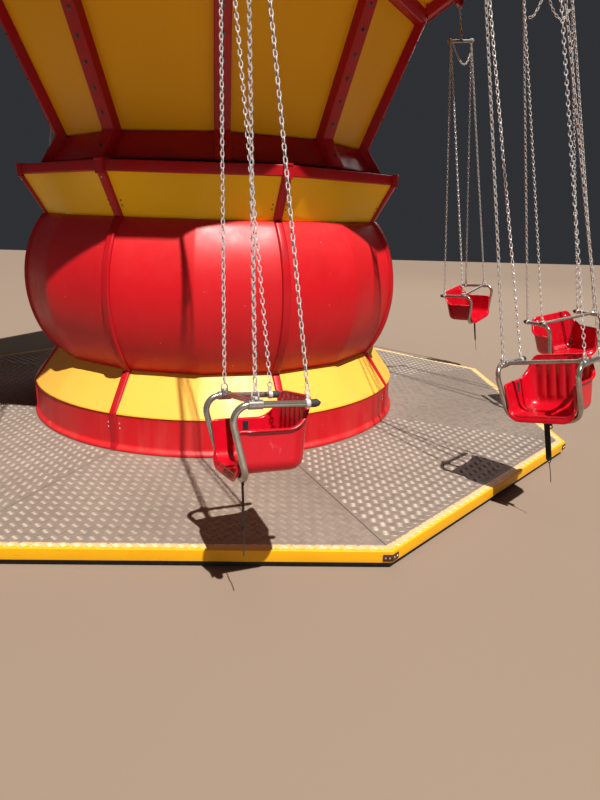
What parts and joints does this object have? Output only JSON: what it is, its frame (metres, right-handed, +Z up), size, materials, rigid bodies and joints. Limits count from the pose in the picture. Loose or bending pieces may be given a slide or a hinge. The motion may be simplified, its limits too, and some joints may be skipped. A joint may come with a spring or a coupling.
{
  "type": "chair swing ride",
  "caption": "Small fairground chair swing ride: octagonal tread-plate platform, bulging red and yellow drum, turning flared top with canopy, and tub chairs hung on chains.",
  "frame": {"origin": "centre of the platform's underside, on the ground", "axes": "+Z up along the ride's turning axis; -Y faces the middle of one platform side, the side the picture shows in front"},
  "size_m": [4.9661, 5.0082, 3.6],
  "materials": {
    "tread_plate": "worn tread plate",
    "edge_yellow": "yellow safety paint, worn at the edge",
    "black_plinth": "matt black",
    "panel_red": "glossy moulded panels",
    "panel_yellow": "glossy moulded panels",
    "frame_red": "gloss red paint on steel box sections",
    "dark_steel": "greased dark steel",
    "steel_tube": "polished stainless tube",
    "zinc_chain": "zinc-plated",
    "tub_red": "moulded, lightly scuffed",
    "webbing_black": "woven webbing"
  },
  "bodies": {
    "base": {"platform_plinth": "black_plinth", "platform_edge": "edge_yellow", "platform_deck": "tread_plate", "drum_kick_band": "panel_red", "drum_lower_cone": "panel_yellow", "drum_belly": "panel_red", "drum_upper_flare": "panel_yellow", "drum_rim_and_ribs": "frame_red", "turntable_ring": "dark_steel"},
    "top": {"top_neck_and_ribs": "frame_red", "top_flare_panels": "panel_yellow", "canopy_arms": "frame_red", "canopy_soffit": "panel_yellow", "canopy_fascia": "panel_red", "canopy_roof": "panel_yellow", "canopy_cap": "panel_red"},
    "hanger_01": {"chair_01_hanger": "zinc_chain"},
    "chair_01": {"chair_01_frame": "steel_tube", "chair_01_tub": "tub_red"},
    "hanger_02": {"chair_02_hanger": "zinc_chain"},
    "chair_02": {"chair_02_frame": "steel_tube", "chair_02_tub": "tub_red"},
    "hanger_03": {"chair_03_hanger": "zinc_chain"},
    "chair_03": {"chair_03_frame": "steel_tube", "chair_03_tub": "tub_red"},
    "hanger_04": {"chair_04_hanger": "zinc_chain"},
    "chair_04": {"chair_04_frame": "steel_tube", "chair_04_tub": "tub_red"},
    "hanger_05": {"chair_05_hanger": "zinc_chain"},
    "chair_05": {"chair_05_frame": "steel_tube", "chair_05_tub": "tub_red"},
    "hanger_06": {"chair_06_hanger": "zinc_chain"},
    "chair_06": {"chair_06_frame": "steel_tube", "chair_06_tub": "tub_red"},
    "hanger_07": {"chair_07_hanger": "zinc_chain"},
    "chair_07": {"chair_07_frame": "steel_tube", "chair_07_tub": "tub_red"},
    "hanger_08": {"chair_08_hanger": "zinc_chain"},
    "chair_08": {"chair_08_frame": "steel_tube", "chair_08_tub": "tub_red"},
    "hanger_09": {"chair_09_hanger": "zinc_chain"},
    "chair_09": {"chair_09_frame": "steel_tube", "chair_09_tub": "tub_red"},
    "hanger_10": {"chair_10_hanger": "zinc_chain"},
    "chair_10": {"chair_10_frame": "steel_tube", "chair_10_tub": "tub_red"}
  },
  "joints": [
    {"name": "top_turn", "type": "hinge", "parent": "base", "child": "top", "pos_m": [0, 0, 1.576], "axis": [0, 0, 1], "continuous": true},
    {"name": "swing_01", "type": "hinge", "parent": "top", "child": "hanger_01", "pos_m": [0.24085, -1.85442, 2.83], "axis": [-0.9917, -0.1288, 0], "range_deg": [-20, 33]},
    {"name": "sway_01", "type": "hinge", "parent": "hanger_01", "child": "chair_01", "pos_m": [0.2473, -1.90411, 2.59018], "axis": [0.3459, -0.9169, 0.1993], "range_deg": [-18, 18]},
    {"name": "swing_02", "type": "hinge", "parent": "top", "child": "hanger_02", "pos_m": [1.28485, -1.35869, 2.83], "axis": [-0.7266, -0.6871, 0], "range_deg": [-20, 33]},
    {"name": "sway_02", "type": "hinge", "parent": "hanger_02", "child": "chair_02", "pos_m": [1.31928, -1.3951, 2.59018], "axis": [0.6851, -0.6991, 0.2045], "range_deg": [-18, 18]},
    {"name": "swing_03", "type": "hinge", "parent": "top", "child": "hanger_03", "pos_m": [1.83809, -0.34399, 2.83], "axis": [-0.184, -0.9829, 0], "range_deg": [-20, 33]},
    {"name": "sway_03", "type": "hinge", "parent": "hanger_03", "child": "chair_03", "pos_m": [1.88734, -0.3532, 2.59018], "axis": [0.9696, 0.1498, 0.1934], "range_deg": [-18, 18]},
    {"name": "swing_04", "type": "hinge", "parent": "top", "child": "hanger_04", "pos_m": [1.68924, 0.80211, 2.83], "axis": [0.4289, -0.9033, 0], "range_deg": [-20, 33]},
    {"name": "sway_04", "type": "hinge", "parent": "hanger_04", "child": "chair_04", "pos_m": [1.73449, 0.8236, 2.59018], "axis": [0.6964, 0.6911, 0.1934], "range_deg": [-18, 18]},
    {"name": "swing_05", "type": "hinge", "parent": "top", "child": "hanger_05", "pos_m": [0.89515, 1.64183, 2.83], "axis": [0.878, -0.4787, 0], "range_deg": [-20, 33]},
    {"name": "sway_05", "type": "hinge", "parent": "hanger_05", "child": "chair_05", "pos_m": [0.91914, 1.68582, 2.59018], "axis": [0.2591, 0.9451, 0.1993], "range_deg": [-18, 18]},
    {"name": "swing_06", "type": "hinge", "parent": "top", "child": "hanger_06", "pos_m": [-0.24085, 1.85442, 2.83], "axis": [0.9917, 0.1288, 0], "range_deg": [-20, 33]},
    {"name": "sway_06", "type": "hinge", "parent": "hanger_06", "child": "chair_06", "pos_m": [-0.2473, 1.90411, 2.59018], "axis": [-0.3459, 0.9169, 0.1993], "range_deg": [-18, 18]},
    {"name": "swing_07", "type": "hinge", "parent": "top", "child": "hanger_07", "pos_m": [-1.28485, 1.35869, 2.83], "axis": [0.7266, 0.6871, 0], "range_deg": [-20, 33]},
    {"name": "sway_07", "type": "hinge", "parent": "hanger_07", "child": "chair_07", "pos_m": [-1.31928, 1.3951, 2.59018], "axis": [-0.8188, 0.5384, 0.1993], "range_deg": [-18, 18]},
    {"name": "swing_08", "type": "hinge", "parent": "top", "child": "hanger_08", "pos_m": [-1.83809, 0.34399, 2.83], "axis": [0.184, 0.9829, 0], "range_deg": [-20, 33]},
    {"name": "sway_08", "type": "hinge", "parent": "hanger_08", "child": "chair_08", "pos_m": [-1.88734, 0.3532, 2.59018], "axis": [-0.9789, -0.0457, 0.1993], "range_deg": [-18, 18]},
    {"name": "swing_09", "type": "hinge", "parent": "top", "child": "hanger_09", "pos_m": [-1.68924, -0.80211, 2.83], "axis": [-0.4289, 0.9033, 0], "range_deg": [-20, 33]},
    {"name": "sway_09", "type": "hinge", "parent": "hanger_09", "child": "chair_09", "pos_m": [-1.73449, -0.8236, 2.59018], "axis": [-0.7651, -0.6123, 0.1993], "range_deg": [-18, 18]},
    {"name": "swing_10", "type": "hinge", "parent": "top", "child": "hanger_10", "pos_m": [-0.89515, -1.64183, 2.83], "axis": [-0.878, 0.4787, 0], "range_deg": [-20, 33]},
    {"name": "sway_10", "type": "hinge", "parent": "hanger_10", "child": "chair_10", "pos_m": [-0.91914, -1.68582, 2.59018], "axis": [-0.2591, -0.9451, 0.1993], "range_deg": [-18, 18]}
  ]
}
